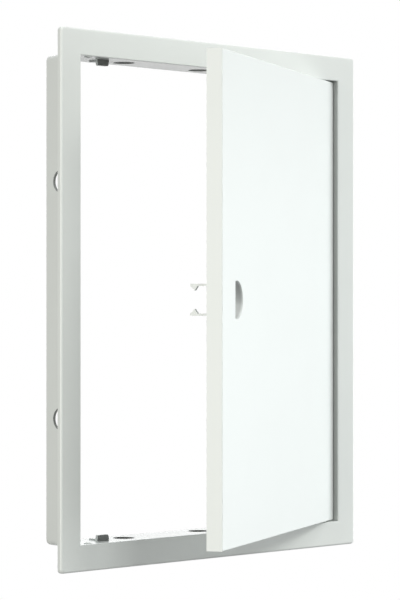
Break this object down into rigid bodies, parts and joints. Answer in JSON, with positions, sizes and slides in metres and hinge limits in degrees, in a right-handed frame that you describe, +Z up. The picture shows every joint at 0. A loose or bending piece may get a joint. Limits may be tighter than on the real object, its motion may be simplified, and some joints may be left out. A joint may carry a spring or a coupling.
{
  "type": "access panel",
  "caption": "White moulded plastic wall access panel: a flanged frame with a collar, and a pivoted door with a scooped finger pull and snap hooks.",
  "frame": {"origin": "middle of the opening, on the flange's back face, which lies on the wall", "axes": "+X to the right seen from the front, +Y into the wall, +Z up"},
  "size_m": [0.218, 0.1014, 0.268],
  "materials": {
    "frame_plastic": "white moulded plastic, fine satin texture",
    "door_plastic": "white moulded plastic, fine satin texture",
    "buffer_rubber": "dark grey rubber"
  },
  "bodies": {
    "frame": {"flange": "frame_plastic", "left_collar_wall": "frame_plastic", "right_collar_wall": "frame_plastic", "top_collar_wall": "frame_plastic", "bottom_collar_wall": "frame_plastic", "top_left_pivot_boss": "frame_plastic", "top_right_pivot_boss": "frame_plastic", "bottom_left_pivot_boss": "frame_plastic", "bottom_right_pivot_boss": "frame_plastic", "top_left_stop_post": "frame_plastic", "top_right_stop_post": "frame_plastic", "bottom_left_stop_post": "frame_plastic", "bottom_right_stop_post": "frame_plastic", "top_left_stop_buffer": "buffer_rubber", "top_right_stop_buffer": "buffer_rubber", "bottom_left_stop_buffer": "buffer_rubber", "bottom_right_stop_buffer": "buffer_rubber", "catch_strike": "frame_plastic"},
    "door": {"door_face_plate": "door_plastic", "door_top_rim": "door_plastic", "door_bottom_rim": "door_plastic", "door_free_rim": "door_plastic", "door_hinge_rim": "door_plastic", "finger_cup": "door_plastic", "upper_catch_hook": "door_plastic", "lower_catch_hook": "door_plastic", "top_pivot_pin": "door_plastic", "bottom_pivot_pin": "door_plastic"}
  },
  "joints": [
    {"name": "door_hinge", "type": "hinge", "parent": "frame", "child": "door", "pos_m": [0.0875, 0.0015, 0], "axis": [0, 0, 1], "range_deg": [-25.3, 94.7]}
  ]
}
